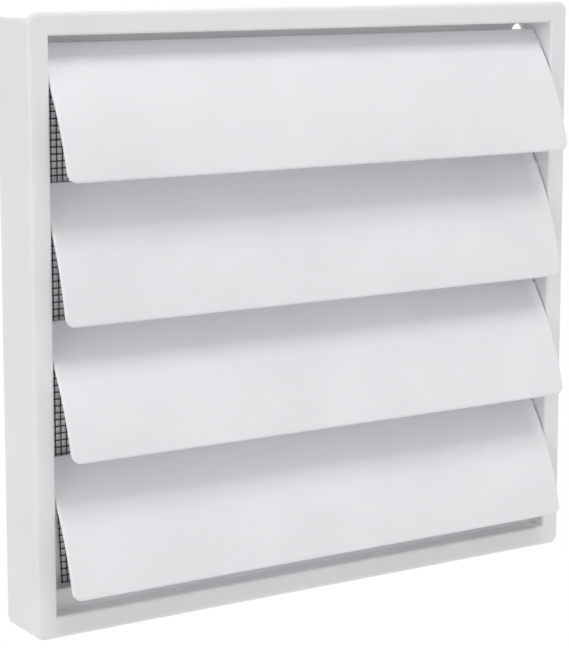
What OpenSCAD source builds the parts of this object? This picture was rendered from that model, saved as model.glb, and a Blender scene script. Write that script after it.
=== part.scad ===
// Exterior ventilation grille: a moulded frame, four curved gravity flaps and an insect screen.
// Origin: centre of the face that lies on the wall (y = 0). The grille stands out towards -y, +z is up.

/* [Frame] */
// Overall width
frame_w = 150; // [120:1:200]
// Overall height
frame_h = 140; // [112:1:180]
// Depth from the wall to the front face
frame_d = 15; // [13.5:0.5:24]
// Width of the border round the opening
bezel_w = 5.1; // [4.9:0.1:12]
// Thickness of the front face
face_t = 1.6; // [1.2:0.1:2.5]
// Thickness of the outer wall
outer_wall = 1.6; // [1.2:0.1:2]
// Thickness of the wall round the opening, which carries the flap pins
inner_wall = 1.5; // [1.2:0.1:2]
// Radius of the four outer corners, seen from the front
corner_r = 2.2; // [1.7:0.1:5]
// Rounding of the front outer edge
outer_round = 1; // [0.5:0.1:1.6]
// Rounding of the front edge of the opening
opening_round = 0.6; // [0.5:0.1:1.5]

/* [Rear ledge] */
// Distance from the front face back to the ledge
ledge_depth = 10.2; // [10:0.1:12]
// How far the ledge reaches in from the walls of the opening
ledge_w = 9.5; // [7:0.5:14]
// Thickness of the ledge
ledge_t = 1.2; // [1:0.1:2]
// Corner radius of the window in the ledge
window_r = 6; // [2:0.5:15]

/* [Fixing] */
// Diameter of the four screw holes
screw_d = 4; // [3:0.1:4.4]
// Distance from each screw hole's centre to the two nearest walls of the opening
screw_inset = 2.5; // [2.4:0.1:4]
// Wall thickness of the half-round boss behind each screw hole
boss_t = 1.2; // [1:0.1:2]
// Radial room between a screw and the boss behind its hole
boss_play = 0.4; // [0.2:0.1:1]
// Thickness of the ribs that tie the outer wall to the inner wall
rib_t = 1.2; // [0.8:0.1:2]
// Number of ribs along the top and along the bottom
rib_count = 4; // [2:1:6]

/* [Flaps] */
// Thickness of a flap
flap_t = 1; // [0.8:0.1:1.2]
// Radius of a flap's curved outer face
flap_r = 72; // [60:1:90]
// Radius of the lower corners of a flap
flap_corner_r = 2.4; // [1:0.1:4]
// Gap between a flap's end and the wall beside it
flap_end_gap = 0.35; // [0.3:0.05:0.8]
// Radius of the bead along the hinge line
bead_r = 1.25; // [1.15:0.05:1.4]
// Length of the lip above the hinge line, measured along the curve
lip_len = 3.9; // [3:0.1:4]
// Diameter of a hinge pin
pin_d = 2.2; // [1.6:0.1:2.3]
// Radial play of a pin in its hole
pin_play = 0.08; // [0.05:0.01:0.1]
// Distance from the front face back to the hinge line
hinge_depth = 5.25; // [5:0.05:6]
// Height of the opening's top above the highest hinge line
hinge_drop = 5.4; // [4.8:0.1:7]
// Height of a shut flap's lower edge above the next hinge line
shut_lap = 2.1; // [2.1:0.1:3]
// How far a shut flap's lower edge stands in front of the next hinge line
shut_lead = 1.4; // [1.4:0.05:1.7]
// Opening of the top flap, in degrees from shut
open_1 = 22.5; // [0:0.5:80]
// Opening of the second flap
open_2 = 18; // [0:0.5:80]
// Opening of the third flap
open_3 = 22.5; // [0:0.5:80]
// Opening of the bottom flap
open_4 = 21.5; // [0:0.5:80]

/* [Sill upstand] */
// Height of the upstand that the bottom flap shuts against
upstand_h = 4.9; // [3:0.1:6]
// Thickness of the upstand
upstand_t = 1.2; // [1:0.1:1.6]
// Gap between the shut bottom flap and the upstand
upstand_gap = 0.35; // [0.3:0.05:0.6]
// Height above the sill of a fifth hinge line, one pitch below the lowest
sill_gap = 0.4; // [0.3:0.1:1.5]

/* [Insect screen] */
// Thickness of one thread of the screen
thread = 0.28; // [0.2:0.02:0.4]
// Spacing of the upright threads
pitch_x = 1.41; // [1.2:0.01:2.5]
// Spacing of the level threads
pitch_z = 1.59; // [1.2:0.01:2.5]
// Margin between the screen and the walls of the opening
screen_margin = 4.5; // [4.4:0.1:6]
// Gap between the two layers of threads, and between the screen and the ledge
layer_gap = 0.02; // [0.01:0.01:0.1]

/* [Hidden] */
$fn = 96;
eps = 0.5;
flap_count = 4;

open_w = frame_w - 2 * bezel_w;
open_h = frame_h - 2 * bezel_w;
open_x = open_w / 2;
open_z = open_h / 2;
ledge_front = -frame_d + ledge_depth;
ledge_back = ledge_front + ledge_t;

screw_x = open_x - screw_inset;
screw_z = open_z - screw_inset;
boss_r = screw_d / 2 + boss_play + boss_t;

flap_pitch = (open_h - hinge_drop - sill_gap) / flap_count;
hinge_y = -frame_d + hinge_depth;
flap_half = open_x - flap_end_gap;
pin_reach = open_x + inner_wall + 0.4;
pin_chamfer = 0.3;
opening_of = [open_1, open_2, open_3, open_4];

// Arc that a flap covers below its hinge line, and the turn that brings it to its shut place:
// its lower inner corner then lies shut_lead in front of the next hinge line and shut_lap above it.
inner_r = flap_r - flap_t;
middle_r = flap_r - flap_t / 2;
foot_r = flap_r - bead_r;
reach = norm([shut_lead, flap_pitch - shut_lap]);
flap_arc = acos((foot_r * foot_r + inner_r * inner_r - reach * reach) / (2 * foot_r * inner_r));
corner_turn = atan2(inner_r * cos(flap_arc) - foot_r, inner_r * sin(flap_arc));
shut_turn = atan2(shut_lead, flap_pitch - shut_lap) - corner_turn;
lip_arc = lip_len / flap_r * 180 / PI;
end_arc = flap_t / 2 / middle_r * 180 / PI;

upstand_y = hinge_y - shut_lead + upstand_gap;

function hinge_z(i) = open_z - hinge_drop - i * flap_pitch;

// A bar or a corner post of a slab: it stands back from y = 0 to y = -d, its outer front edge rounded.
module edge_profile(r, d, round_r) {
    square([r - round_r, d]);
    square([r, d - round_r]);
    translate([r - round_r, d - round_r]) {
        intersection() {
            circle(round_r);
            square(round_r);
        }
    }
}

// Slab with rounded corners and a rounded front edge, its back at y = 0.
module rounded_slab(w, h, d, r, round_r) {
    rotate([90, 0, 0]) {
        linear_extrude(d) {
            square([w - 2 * r, h - 2 * r], center = true);
        }
        for (sx = [-1, 1], sz = [-1, 1]) {
            translate([sx * (w / 2 - r), sz * (h / 2 - r), 0]) {
                rotate_extrude() {
                    edge_profile(r, d, round_r);
                }
            }
        }
        for (s = [-1, 1]) {
            translate([s * (w / 2 - r), s * (h / 2 - r), 0]) {
                rotate([90, 0, 90 - 90 * s]) {
                    linear_extrude(h - 2 * r) {
                        edge_profile(r, d, round_r);
                    }
                }
            }
            translate([-s * (w / 2 - r), s * (h / 2 - r), 0]) {
                rotate([90, 0, 90 * s]) {
                    linear_extrude(w - 2 * r) {
                        edge_profile(r, d, round_r);
                    }
                }
            }
        }
    }
}

// Block with rounded corners between the depths y_front and y_back.
module rounded_block(w, h, r, y_front, y_back) {
    translate([0, y_back, 0]) {
        rotate([90, 0, 0]) {
            linear_extrude(y_back - y_front) {
                square([w - 2 * r, h], center = true);
                square([w, h - 2 * r], center = true);
                for (sx = [-1, 1], sz = [-1, 1]) {
                    translate([sx * (w / 2 - r), sz * (h / 2 - r)]) {
                        circle(r);
                    }
                }
            }
        }
    }
}

// Outline of the space cut for the opening: straight down to the ledge, flared where the front rounds off.
// First axis: across the opening. Second axis: towards the front, 0 at the ledge.
module flared_outline(half) {
    translate([-half, 0]) {
        square([2 * half, ledge_depth + eps]);
    }
    difference() {
        translate([-half - opening_round, ledge_depth - opening_round]) {
            square([2 * (half + opening_round), opening_round + eps]);
        }
        for (s = [-1, 1]) {
            translate([s * (half + opening_round), ledge_depth - opening_round]) {
                circle(opening_round);
            }
        }
    }
}

// The opening: its two flared outlines cross, so the rounded edges meet in a mitre at each corner.
module opening_space() {
    span = 2 * frame_w + frame_h;
    intersection() {
        translate([0, ledge_front, -span / 2]) {
            mirror([0, 1, 0]) {
                linear_extrude(span) {
                    flared_outline(open_x);
                }
            }
        }
        translate([-span / 2, ledge_front, 0]) {
            rotate([90, 0, 90]) {
                linear_extrude(span) {
                    rotate(90) {
                        flared_outline(open_z);
                    }
                }
            }
        }
    }
}

// Outer shell: front face and outer wall, open at the back.
module shell() {
    difference() {
        rounded_slab(frame_w, frame_h, frame_d, corner_r, outer_round);
        rounded_block(frame_w - 2 * outer_wall, frame_h - 2 * outer_wall,
            max(corner_r - outer_wall, 0.1), -frame_d + face_t, eps);
    }
}

// Box that holds the walls of the opening and the ledge; the opening is cut out of it later.
module inner_box() {
    w = open_w + 2 * inner_wall;
    h = open_h + 2 * inner_wall;
    translate([-w / 2, -frame_d + face_t / 2, -h / 2]) {
        cube([w, ledge_back + frame_d - face_t / 2, h]);
    }
}

// Rib between outer and inner wall; it also props the ledge off the wall of the house.
// half is the half size of the frame across this rib.
module rib(half) {
    outer = half - outer_wall / 2;
    inner = half - bezel_w + inner_wall / 2;
    prop = half - bezel_w - screw_inset;
    linear_extrude(rib_t, center = true) {
        polygon([
            [outer, -frame_d + face_t / 2],
            [inner, -frame_d + face_t / 2],
            [inner, ledge_back - ledge_t / 2],
            [prop, ledge_back - ledge_t / 2],
            [prop, 0],
            [outer, 0],
        ]);
    }
}

// Ribs halfway between the hinge lines at both sides, and evenly along the top and the bottom.
module ribs() {
    for (s = [0, 1], i = [0 : flap_count - 1]) {
        mirror([s, 0, 0]) {
            translate([0, 0, hinge_z(i) - flap_pitch / 2]) {
                rib(frame_w / 2);
            }
        }
    }
    for (s = [0, 1], i = [1 : rib_count]) {
        mirror([0, 0, s]) {
            translate([-open_x + i * open_w / (rib_count + 1), 0, 0]) {
                rotate([0, -90, 0]) {
                    rib(frame_h / 2);
                }
            }
        }
    }
}

// Half-round boss behind a screw hole, on the side that faces the middle of the grille.
module half_boss() {
    translate([screw_x, 0, screw_z]) {
        rotate([90, 0, 0]) {
            difference() {
                cylinder(h = -ledge_back + ledge_t / 2, r = boss_r);
                translate([0, 0, -eps]) {
                    cylinder(h = -ledge_back + eps, r = boss_r - boss_t);
                }
                rotate(45) {
                    translate([0, -2 * boss_r, -eps]) {
                        cube([2 * boss_r, 4 * boss_r, -ledge_back + eps]);
                    }
                }
            }
        }
    }
}

// Upstand along the sill, with a rounded top.
module upstand() {
    w = open_w + inner_wall;
    top = -open_z + upstand_h - upstand_t / 2;
    translate([-w / 2, upstand_y, -open_z - inner_wall / 2]) {
        cube([w, upstand_t, upstand_h + inner_wall / 2 - upstand_t / 2]);
    }
    translate([-w / 2, upstand_y + upstand_t / 2, top]) {
        rotate([0, 90, 0]) {
            cylinder(h = w, r = upstand_t / 2);
        }
    }
}

module frame() {
    color("white") {
        difference() {
            union() {
                shell();
                inner_box();
                ribs();
                for (sx = [0, 1], sz = [0, 1]) {
                    mirror([sx, 0, 0]) {
                        mirror([0, 0, sz]) {
                            half_boss();
                        }
                    }
                }
            }
            opening_space();
            rounded_block(open_w - 2 * ledge_w, open_h - 2 * ledge_w, window_r,
                ledge_front - eps, eps);
            for (i = [0 : flap_count - 1]) {
                translate([-open_x - inner_wall - eps, hinge_y, hinge_z(i)]) {
                    rotate([0, 90, 0]) {
                        cylinder(h = open_w + 2 * (inner_wall + eps), r = pin_d / 2 + pin_play);
                    }
                }
            }
            for (sx = [-1, 1], sz = [-1, 1]) {
                translate([sx * screw_x, eps, sz * screw_z]) {
                    rotate([90, 0, 0]) {
                        cylinder(h = -ledge_front + 2 * eps, r = screw_d / 2);
                    }
                }
            }
        }
        upstand();
    }
}

// Section of a flap about its hinge, with the outer face tangent to the bead.
// First axis: into the wall. Second axis: up.
module flap_section() {
    a = flap_arc - end_arc;
    b = end_arc - lip_arc;
    translate([foot_r, 0]) {
        intersection() {
            difference() {
                circle(flap_r, $fn = 720);
                circle(inner_r, $fn = 720);
            }
            polygon([
                [0, 0],
                [-2 * flap_r * cos(b), -2 * flap_r * sin(b)],
                [-2 * flap_r * cos(a), -2 * flap_r * sin(a)],
            ]);
        }
    }
    for (s = [a, b]) {
        translate([foot_r - middle_r * cos(s), -middle_r * sin(s)]) {
            circle(flap_t / 2);
        }
    }
    circle(bead_r);
}

// Front outline of a flap about its hinge, with rounded lower corners.
module flap_outline() {
    low = -middle_r * sin(flap_arc - end_arc) - flap_t / 2;
    high = lip_len + flap_t;
    translate([-flap_half, low + flap_corner_r]) {
        square([2 * flap_half, high - low - flap_corner_r]);
    }
    translate([-flap_half + flap_corner_r, low]) {
        square([2 * (flap_half - flap_corner_r), flap_corner_r]);
    }
    for (s = [-1, 1]) {
        translate([s * (flap_half - flap_corner_r), low + flap_corner_r]) {
            circle(flap_corner_r);
        }
    }
}

// One pin, its tip chamfered, from inside the bead out through the hole in the wall.
module pin() {
    translate([flap_half - eps, 0, 0]) {
        rotate([0, 90, 0]) {
            cylinder(h = pin_reach - flap_half + eps - pin_chamfer, d = pin_d);
        }
    }
    translate([pin_reach - pin_chamfer, 0, 0]) {
        rotate([0, 90, 0]) {
            cylinder(h = pin_chamfer, d1 = pin_d, d2 = pin_d - 2 * pin_chamfer);
        }
    }
}

// Flap i in its place, opened by its own angle.
module flap(i) {
    color("white") {
        translate([0, hinge_y, hinge_z(i)]) {
            rotate([-shut_turn - opening_of[i], 0, 0]) {
                intersection() {
                    translate([-flap_half, 0, 0]) {
                        rotate([90, 0, 90]) {
                            linear_extrude(2 * flap_half) {
                                flap_section();
                            }
                        }
                    }
                    translate([0, flap_r / 2, 0]) {
                        rotate([90, 0, 0]) {
                            linear_extrude(flap_r) {
                                flap_outline();
                            }
                        }
                    }
                }
                for (s = [0, 1]) {
                    mirror([s, 0, 0]) {
                        pin();
                    }
                }
            }
        }
    }
}

// The screen: an upright layer of threads in front of a level one, as wide and high as the margin leaves.
module insect_screen() {
    half_w = open_x - screen_margin;
    half_h = open_z - screen_margin;
    nx = floor((half_w - thread / 2) / pitch_x);
    nz = floor((half_h - thread / 2) / pitch_z);
    rear_layer = ledge_front - layer_gap - thread;
    color("dimgray") {
        for (i = [-nx : nx]) {
            translate([i * pitch_x - thread / 2, rear_layer - layer_gap - thread, -half_h]) {
                cube([thread, thread, 2 * half_h]);
            }
        }
        for (i = [-nz : nz]) {
            translate([-half_w, rear_layer, i * pitch_z - thread / 2]) {
                cube([2 * half_w, thread, thread]);
            }
        }
    }
}

frame();
flap(0);  // flap_1
flap(1);  // flap_2
flap(2);  // flap_3
flap(3);  // flap_4
insect_screen();
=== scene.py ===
from math import cos, pi, radians, sin

import bpy
from mathutils import Matrix, Vector


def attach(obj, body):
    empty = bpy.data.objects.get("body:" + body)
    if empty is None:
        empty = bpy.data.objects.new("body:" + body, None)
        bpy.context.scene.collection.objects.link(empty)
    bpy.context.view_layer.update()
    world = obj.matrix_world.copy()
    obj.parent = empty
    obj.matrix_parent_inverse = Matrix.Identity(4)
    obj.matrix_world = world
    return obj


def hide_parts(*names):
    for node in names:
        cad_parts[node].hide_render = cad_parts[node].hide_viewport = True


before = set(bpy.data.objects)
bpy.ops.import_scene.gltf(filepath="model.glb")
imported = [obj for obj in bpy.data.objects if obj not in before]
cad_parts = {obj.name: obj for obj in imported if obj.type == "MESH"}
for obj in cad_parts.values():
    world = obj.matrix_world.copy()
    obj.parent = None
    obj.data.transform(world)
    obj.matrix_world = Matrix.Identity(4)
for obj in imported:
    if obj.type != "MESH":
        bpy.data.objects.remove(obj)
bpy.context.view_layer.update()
mm = 0.001

# Frame
# One injection moulding in white weatherproof plastic: bezel, side walls with the pin holes, ledge for
# the screen, sill upstand. Its faces have the fine satin of a spark-eroded mould and are a little uneven.


class Wire:
    """An output of a node. Sums, products and powers of wires and numbers add Math nodes."""

    def __init__(self, tree, socket):
        self.tree = tree
        self.socket = socket

    def __add__(self, other):
        return node(self.tree, "ShaderNodeMath", {"operation": "ADD"}, {0: self, 1: other})

    def __sub__(self, other):
        return node(self.tree, "ShaderNodeMath", {"operation": "SUBTRACT"}, {0: self, 1: other})

    def __rsub__(self, other):
        return node(self.tree, "ShaderNodeMath", {"operation": "SUBTRACT"}, {0: other, 1: self})

    def __mul__(self, other):
        return node(self.tree, "ShaderNodeMath", {"operation": "MULTIPLY"}, {0: self, 1: other})

    def __truediv__(self, other):
        return node(self.tree, "ShaderNodeMath", {"operation": "DIVIDE"}, {0: self, 1: other})

    def __neg__(self):
        return self * -1

    __radd__ = __add__
    __rmul__ = __mul__

    def apply(self, operation, other=0):
        """Any other Math operation, such as SINE or ABSOLUTE."""
        return node(self.tree, "ShaderNodeMath", {"operation": operation}, {0: self, 1: other})

    def clamped(self):
        return node(self.tree, "ShaderNodeClamp", {}, {"Value": self})


def node(tree, kind, settings, sockets, output=0):
    """Adds a node: its settings first, then the values or wires of its input sockets."""
    made = tree.nodes.new(kind)
    for key, value in settings.items():
        if key == "stops":
            ramp = made.color_ramp
            while len(ramp.elements) < len(value):
                ramp.elements.new(0.5)
            for element, (place, tone) in zip(ramp.elements, value):
                element.position = place
                element.color = (*tone, 1)
        else:
            setattr(made, key, value)
    for key, value in sockets.items():
        if isinstance(value, Wire):
            tree.links.new(value.socket, made.inputs[key])
        else:
            made.inputs[key].default_value = value
    return Wire(tree, made.outputs[output]) if made.outputs else None


def new_material(name):
    """A material with an empty node tree, and the wire of the object coordinates in it."""
    made = bpy.data.materials.new(name)
    made.use_nodes = True
    made.node_tree.nodes.clear()
    place = node(made.node_tree, "ShaderNodeTexCoord", {}, {}, "Object")
    return made, made.node_tree, place


def moulded_plastic(name, tone, seed):
    """Satin white plastic: faint clouding, uneven gloss, mould texture and slow waviness."""
    made, tree, place = new_material(name)

    def speckle(per_metre, detail):
        return node(tree, "ShaderNodeTexNoise", {"noise_dimensions": "4D"},
                    {"Vector": place, "W": seed, "Scale": per_metre, "Detail": detail})

    cloud = speckle(45, 3)
    handling = speckle(160, 4)
    wave = speckle(28, 1)
    grain = speckle(2600, 2)
    cloud_shade = 0.955
    darker = tuple(channel * cloud_shade for channel in tone)
    colour = node(tree, "ShaderNodeValToRGB", {"stops": [(0.3, darker), (0.62, tone)]}, {"Fac": cloud})
    satin = 0.36
    handled_spread = 0.16
    clouded_spread = 0.06
    gloss = satin + (handling - 0.5) * handled_spread + (cloud - 0.5) * clouded_spread
    wave_share = 0.9
    grain_share = 0.02
    height = wave * wave_share + grain * grain_share
    bump = node(tree, "ShaderNodeBump", {}, {"Height": height, "Strength": 0.25, "Distance": 0.4 * mm})
    shader = node(tree, "ShaderNodeBsdfPrincipled", {}, {
        "Base Color": colour, "Roughness": gloss, "Normal": bump, "IOR": 1.49,
        "Subsurface Weight": 0.12, "Subsurface Radius": (1.0, 0.95, 0.9), "Subsurface Scale": 0.6 * mm})
    node(tree, "ShaderNodeOutputMaterial", {}, {"Surface": shader})
    return made


frame_plastic = moulded_plastic("frame_plastic", (0.862, 0.86, 0.873), 1.0)
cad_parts["frame"].data.materials.clear()
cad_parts["frame"].data.materials.append(frame_plastic)

# Flaps
# Four thin curved blades of the same plastic, each moulded in one piece with the bead along its hinge
# line and a pin at both ends. They drop into the holes of the side walls and hang a little open.
hinge_y = -9.75 * mm
hinge_z = [59.5 * mm, 28.5 * mm, -2.5 * mm, -33.5 * mm]
flap_opening = [22.5, 18, 22.5, 21.5]
shut_turn = 14.066
flap_sizes = {
    "Half width": 69.55 * mm,
    "Thickness": 1.0 * mm,
    "Curve radius": 72 * mm,
    "Length": 29.39 * mm,
    "Lip": 3.87 * mm,
    "Corner radius": 2.4 * mm,
    "Bead radius": 1.25 * mm,
    "Pin radius": 1.1 * mm,
    "Pin end": 71.8 * mm,
    "Hinge depth": hinge_y,
    "Hinge height": 0.0,
    "Turn": 0.0,
}


def new_tree(name, sizes):
    """A geometry tree with a named number for each size, and the wires of those numbers."""
    tree = bpy.data.node_groups.new(name, "GeometryNodeTree")
    tree.interface.new_socket("Geometry", in_out="OUTPUT", socket_type="NodeSocketGeometry")
    for label, size in sizes.items():
        kind = "NodeSocketInt" if isinstance(size, int) else "NodeSocketFloat"
        tree.interface.new_socket(label, in_out="INPUT", socket_type=kind)
    entry = tree.nodes.new("NodeGroupInput")
    return tree, {label: Wire(tree, entry.outputs[label]) for label in sizes}


def close_tree(tree, shape, material):
    """Ends a geometry tree: instances made real, then the material."""
    solid = node(tree, "GeometryNodeRealizeInstances", {}, {"Geometry": shape})
    coated = node(tree, "GeometryNodeSetMaterial", {}, {"Geometry": solid, "Material": material})
    way_out = tree.nodes.new("NodeGroupOutput")
    tree.links.new(coated.socket, way_out.inputs[0])


def moulded(name, tree, sizes):
    """A plain mesh object from a geometry tree with these sizes."""
    piece = bpy.data.objects.new(name, bpy.data.meshes.new(name))
    bpy.context.scene.collection.objects.link(piece)
    maker = piece.modifiers.new("maker", "NODES")
    maker.node_group = tree
    for socket in tree.interface.items_tree:
        if socket.in_out == "INPUT":
            maker[socket.identifier] = sizes[socket.name]
    ready = piece.evaluated_get(bpy.context.evaluated_depsgraph_get())
    piece.data = bpy.data.meshes.new_from_object(ready)
    piece.data.name = name
    piece.modifiers.clear()
    return piece


# The blade is one closed sheet. Its grid runs along the hinge in x, and round the section in y: front,
# lower rim, back, lip rim. Rows crowd towards the rims, so that only the rims look round.
tree, size = new_tree("flap", flap_sizes)
spot = node(tree, "GeometryNodeInputPosition", {}, {})
across = node(tree, "ShaderNodeSeparateXYZ", {}, {0: spot}, "X")
around = 0.5 - node(tree, "ShaderNodeSeparateXYZ", {}, {0: spot}, "Y")
face_steps = 24
rim_steps = 8
round_steps = 2 * (face_steps + rim_steps)
main_steps = 4
corner_steps = 20
side_steps = main_steps + corner_steps


def share(wire, steps, first, last):
    """How far a wire from 0 to 1, in that many steps, has come between two of them, from 0 to 1."""
    return ((wire - first / steps) * (steps / (last - first))).clamped()


def crowded(part):
    return part * part * (3 - part * 2)


inward = across.apply("ABSOLUTE")
corner_angle = share(inward, side_steps, main_steps, side_steps) * (pi / 2)
x = across.apply("SIGN") * (
    share(inward, side_steps, 0, main_steps) * (size["Half width"] - size["Corner radius"])
    + corner_angle.apply("SINE") * size["Corner radius"])
corner_rise = (1 - corner_angle.apply("COSINE")) * size["Corner radius"]
half_thick = size["Thickness"] / 2
past_rim = (1 - (size["Half width"] - x.apply("ABSOLUTE")) / half_thick).clamped()
half_here = half_thick * (1 - past_rim * past_rim).apply("SQRT")

down = crowded(share(around, round_steps, 0, face_steps))
low_rim = share(around, round_steps, face_steps, face_steps + rim_steps) * pi
up = crowded(share(around, round_steps, face_steps + rim_steps, round_steps - rim_steps))
lip_rim = share(around, round_steps, round_steps - rim_steps, round_steps) * pi
lip_middle = half_thick - size["Lip"]
foot_middle = size["Length"] - corner_rise - half_thick
along = (lip_middle + (foot_middle - lip_middle) * (down - up)
         + (low_rim.apply("SINE") - lip_rim.apply("SINE")) * half_here)
middle_radius = size["Curve radius"] - half_thick
turn = along / middle_radius
radius = middle_radius + (low_rim + lip_rim).apply("COSINE") * half_here
bent = node(tree, "ShaderNodeCombineXYZ", {}, {
    "X": x,
    "Y": size["Curve radius"] - size["Bead radius"] - radius * turn.apply("COSINE"),
    "Z": -(radius * turn.apply("SINE"))})
blade = node(tree, "GeometryNodeMeshGrid", {}, {
    "Size X": 2.0, "Size Y": 1.0, "Vertices X": 2 * side_steps + 1, "Vertices Y": round_steps + 1})
blade = node(tree, "GeometryNodeSetPosition", {}, {"Geometry": blade, "Position": bent})


def rod(thickness, reach):
    """A round rod along x, from -reach to reach, with rounded ends. Thickness is its radius."""
    rounding = 0.3 * mm
    steps = 8
    sides = 32
    nearly = 0.99
    main = share(inward, steps, 0, 1) * nearly + share(inward, steps, 1, 2) * (1 - nearly)
    bend = share(inward, steps, 2, steps - 1) * (pi / 2)
    closing = share(inward, steps, steps - 1, steps)
    at = across.apply("SIGN") * (main * (reach - rounding) + bend.apply("SINE") * rounding)
    thin = (thickness - (1 - bend.apply("COSINE")) * rounding) * (1 - closing)
    circle = around * (2 * pi)
    wrapped = node(tree, "ShaderNodeCombineXYZ", {}, {
        "X": at, "Y": thin * circle.apply("COSINE"), "Z": thin * circle.apply("SINE")})
    made = node(tree, "GeometryNodeMeshGrid", {}, {
        "Size X": 2.0, "Size Y": 1.0, "Vertices X": 2 * steps + 1, "Vertices Y": sides + 1})
    return node(tree, "GeometryNodeSetPosition", {}, {"Geometry": made, "Position": wrapped})


def fused(tree, parts):
    """One closed solid from several: the seams of each part are merged, then the parts are joined."""
    seam = 0.002 * mm
    sliver = 0.001 * mm
    made = tree.nodes.new("GeometryNodeMeshBoolean")
    made.operation = "UNION"
    made.solver = "EXACT"
    for part in parts:
        closed = node(tree, "GeometryNodeMergeByDistance", {}, {"Geometry": part, "Distance": seam})
        tree.links.new(closed.socket, made.inputs["Mesh 2"])
    whole = Wire(tree, made.outputs["Mesh"])
    return node(tree, "GeometryNodeMergeByDistance", {}, {"Geometry": whole, "Distance": sliver})


bead_inset = 0.04 * mm
bead = rod(size["Bead radius"], size["Half width"] - bead_inset)
pins = rod(size["Pin radius"], size["Pin end"])
flap_shape = fused(tree, [blade, bead, pins])
swing = node(tree, "ShaderNodeCombineXYZ", {}, {"X": -size["Turn"]})
swing = node(tree, "FunctionNodeEulerToRotation", {}, {"Euler": swing})
seat = node(tree, "ShaderNodeCombineXYZ", {}, {"Y": size["Hinge depth"], "Z": size["Hinge height"]})
flap_shape = node(tree, "GeometryNodeTransform", {}, {
    "Geometry": flap_shape, "Rotation": swing, "Translation": seat})
flap_shape = node(tree, "GeometryNodeSetShadeSmooth", {}, {"Geometry": flap_shape})
crease_angle = radians(35)
crease = node(tree, "GeometryNodeInputMeshEdgeAngle", {}, {}).apply("GREATER_THAN", crease_angle)
flap_shape = node(tree, "GeometryNodeSetShadeSmooth", {"domain": "EDGE"}, {
    "Geometry": flap_shape, "Selection": crease, "Shade Smooth": False})
flap_plastic = moulded_plastic("flap_plastic", (0.868, 0.863, 0.891), 7.0)
close_tree(tree, flap_shape, flap_plastic)

for number, (height, opening) in enumerate(zip(hinge_z, flap_opening), start=1):
    here = {**flap_sizes, "Hinge height": height, "Turn": radians(shut_turn + opening)}
    flap = moulded(f"moulded_flap_{number}", tree, here)
    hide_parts(f"flap_{number}")
    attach(flap, f"flap_{number}")

# Insect screen
# Plain weave of black coated glass thread, fused at the crossings, cut from a roll along a thread and
# bonded to the front of the ledge. The cloth lies a little uneven and is pulled in at a lower corner.
thread_radius = 0.14 * mm
weave_rise = 0.05 * mm
screen_sizes = {
    "Threads": 93,
    "Rings": 153,
    "Spacing": 1.41 * mm,
    "Cross spacing": 1.59 * mm,
    "Reach": 60.5 * mm,
    "Rise": -weave_rise,
    "Upright": 1.0,
    "Thread radius": thread_radius,
    "Depth": -5.11 * mm,
    "Drift": 0.12 * mm,
    "Corner pull": 1.2 * mm,
    "Pull from x": 45 * mm,
    "Pull over x": 20 * mm,
    "Pull from z": 35 * mm,
    "Pull over z": 25 * mm,
}
tree, size = new_tree("woven_threads", screen_sizes)
line = node(tree, "GeometryNodeCurvePrimitiveLine", {}, {"Start": (0, 0, -1), "End": (0, 0, 1)})
line = node(tree, "GeometryNodeResampleCurve", {}, {"Curve": line, "Count": size["Rings"]})
row = node(tree, "GeometryNodeMeshLine", {"mode": "OFFSET"}, {
    "Count": size["Threads"], "Start Location": (0, 0, 0), "Offset": (1, 0, 0)})
rows = node(tree, "GeometryNodeInstanceOnPoints", {}, {"Points": row, "Instance": line})
rows = node(tree, "GeometryNodeRealizeInstances", {}, {"Geometry": rows})
spot = node(tree, "GeometryNodeInputPosition", {}, {})
index = node(tree, "ShaderNodeSeparateXYZ", {}, {0: spot}, "X") - (size["Threads"] - 1) / 2
run = node(tree, "ShaderNodeSeparateXYZ", {}, {0: spot}, "Z") * size["Reach"]
beside = index * size["Spacing"]
weave = ((run / size["Cross spacing"] + index) * pi).apply("COSINE") * size["Rise"]
upright = size["Upright"]
x = beside * upright + run * (1 - upright)
z = run * upright + beside * (1 - upright)
flat = node(tree, "ShaderNodeCombineXYZ", {}, {"X": x, "Z": z})
drift = node(tree, "ShaderNodeTexNoise", {"noise_dimensions": "4D"}, {
    "Vector": flat, "W": 3.0, "Scale": 38.0, "Detail": 2.0}, "Color")
drift_x = node(tree, "ShaderNodeSeparateXYZ", {}, {0: drift}, "X") - 0.5
drift_z = node(tree, "ShaderNodeSeparateXYZ", {}, {0: drift}, "Y") - 0.5
pull_x = ((-x - size["Pull from x"]) / size["Pull over x"]).clamped()
pull_z = ((-z - size["Pull from z"]) / size["Pull over z"]).clamped()
pull = pull_x * pull_z * size["Corner pull"]
lying = node(tree, "ShaderNodeCombineXYZ", {}, {
    "X": x + drift_x * 2 * size["Drift"] + pull,
    "Y": size["Depth"] + weave,
    "Z": z + drift_z * 2 * size["Drift"]})
rows = node(tree, "GeometryNodeSetPosition", {}, {"Geometry": rows, "Position": lying})
section = node(tree, "GeometryNodeCurvePrimitiveCircle", {}, {
    "Resolution": 5, "Radius": size["Thread radius"]})
cloth = node(tree, "GeometryNodeCurveToMesh", {}, {
    "Curve": rows, "Profile Curve": section, "Fill Caps": True})
cloth = node(tree, "GeometryNodeSetShadeSmooth", {}, {"Geometry": cloth})

screen_thread, paint, place = new_material("screen_thread")
dust = node(paint, "ShaderNodeTexNoise", {}, {"Vector": place, "Scale": 900.0, "Detail": 3.0})
colour = node(paint, "ShaderNodeValToRGB", {
    "stops": [(0.35, (0.012, 0.012, 0.013)), (0.75, (0.05, 0.05, 0.052))]}, {"Fac": dust})
coating = node(paint, "ShaderNodeBsdfPrincipled", {}, {
    "Base Color": colour, "Roughness": 0.42 + dust * 0.2, "IOR": 1.5})
node(paint, "ShaderNodeOutputMaterial", {}, {"Surface": coating})
close_tree(tree, cloth, screen_thread)

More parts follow.
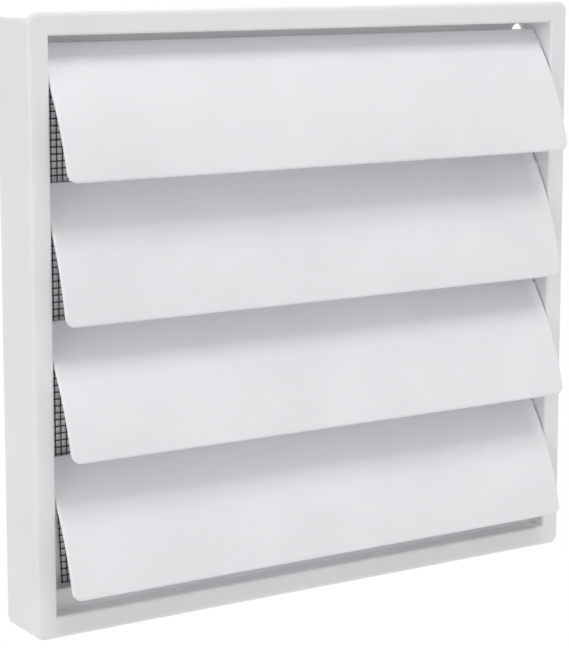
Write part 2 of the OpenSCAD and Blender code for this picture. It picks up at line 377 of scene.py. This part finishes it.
upright_threads = moulded("upright_threads", tree, screen_sizes)
level_threads = moulded("level_threads", tree, {
    **screen_sizes, "Threads": 77, "Rings": 187, "Spacing": 1.59 * mm, "Cross spacing": 1.41 * mm,
    "Reach": 65.15 * mm, "Rise": weave_rise, "Upright": 0.0})
for threads in (upright_threads, level_threads):
    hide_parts("insect_screen")
    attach(threads, "frame")

# Studio
# The grille is shown upright in plain soft light, from its left and a little above its middle. A pale
# sheet lies well below it and takes its shadow, and the rest of the background is white.
image_height = 648
eye = Vector((-278.7, -434.8, 85.8)) * mm
heading = 0.5702
tilt = 0.1422
focal_pixels = 2153
camera = bpy.data.objects.new("camera", bpy.data.cameras.new("camera"))
bpy.context.scene.collection.objects.link(camera)
bpy.context.scene.camera = camera
camera.data.lens = focal_pixels / image_height * camera.data.sensor_width
camera.data.shift_y = -0.12
camera.data.clip_start = 0.01
ahead = Vector((sin(heading) * cos(tilt), cos(heading) * cos(tilt), -sin(tilt)))
upwards = Vector((sin(heading) * sin(tilt), cos(heading) * sin(tilt), cos(tilt)))
sideways = ahead.cross(upwards)
camera.matrix_world = Matrix.Translation(eye) @ Matrix((sideways, upwards, -ahead)).transposed().to_4x4()


def softbox(name, place, width, power):
    """A square soft light that faces the middle of the grille."""
    lamp = bpy.data.objects.new(name, bpy.data.lights.new(name, "AREA"))
    bpy.context.scene.collection.objects.link(lamp)
    lamp.location = place
    lamp.rotation_euler = (-Vector(place)).to_track_quat("-Z", "Y").to_euler()
    lamp.data.size = width
    lamp.data.energy = power


softbox("key", (0.15, -0.95, 1.8), 0.8, 13)
softbox("side", (-1.5, -0.4, 0.3), 0.8, 4.6)
softbox("rear", (0.1, 2.4, 1.2), 1.2, 28)

world = bpy.data.worlds.new("studio")
bpy.context.scene.world = world
world.use_nodes = True
sky = world.node_tree
sky.nodes.clear()
light_path = sky.nodes.new("ShaderNodeLightPath")
ray_kinds = ("Is Camera Ray", "Is Glossy Ray", "Is Transmission Ray")
shown = sum(Wire(sky, light_path.outputs[kind]) for kind in ray_kinds).clamped()
plain = node(sky, "ShaderNodeBackground", {}, {"Color": (1, 1, 1, 1), "Strength": 0.61})
white = node(sky, "ShaderNodeBackground", {}, {"Color": (1, 1, 1, 1), "Strength": 1.0})
seen = node(sky, "ShaderNodeMixShader", {}, {0: shown, 1: plain, 2: white})
node(sky, "ShaderNodeOutputWorld", {}, {"Surface": seen})

floor_level = -0.34
floor_mesh = bpy.data.meshes.new("floor")
floor_half = 0.5
floor_mesh.from_pydata([(-floor_half, -floor_half, floor_level), (floor_half, -floor_half, floor_level),
                        (floor_half, floor_half, floor_level), (-floor_half, floor_half, floor_level)],
                       [], [(0, 1, 2, 3)])
floor = bpy.data.objects.new("floor", floor_mesh)
bpy.context.scene.collection.objects.link(floor)
paper, sheet, place = new_material("paper")
fibre = node(sheet, "ShaderNodeTexNoise", {}, {"Vector": place, "Scale": 30.0, "Detail": 4.0})
tone = node(sheet, "ShaderNodeValToRGB", {
    "stops": [(0.3, (0.88, 0.88, 0.88)), (0.7, (0.9, 0.9, 0.9))]}, {"Fac": fibre})
matt = node(sheet, "ShaderNodeBsdfDiffuse", {}, {"Color": tone})
lift = 0.1
path = node(sheet, "ShaderNodeLightPath", {}, {}, "Is Camera Ray")
bright = node(sheet, "ShaderNodeEmission", {}, {"Color": (1, 1, 1, 1), "Strength": path * lift})
lit = node(sheet, "ShaderNodeAddShader", {}, {0: matt, 1: bright})
node(sheet, "ShaderNodeOutputMaterial", {}, {"Surface": lit})
floor_mesh.materials.append(paper)

bpy.context.scene.view_settings.view_transform = "Standard"
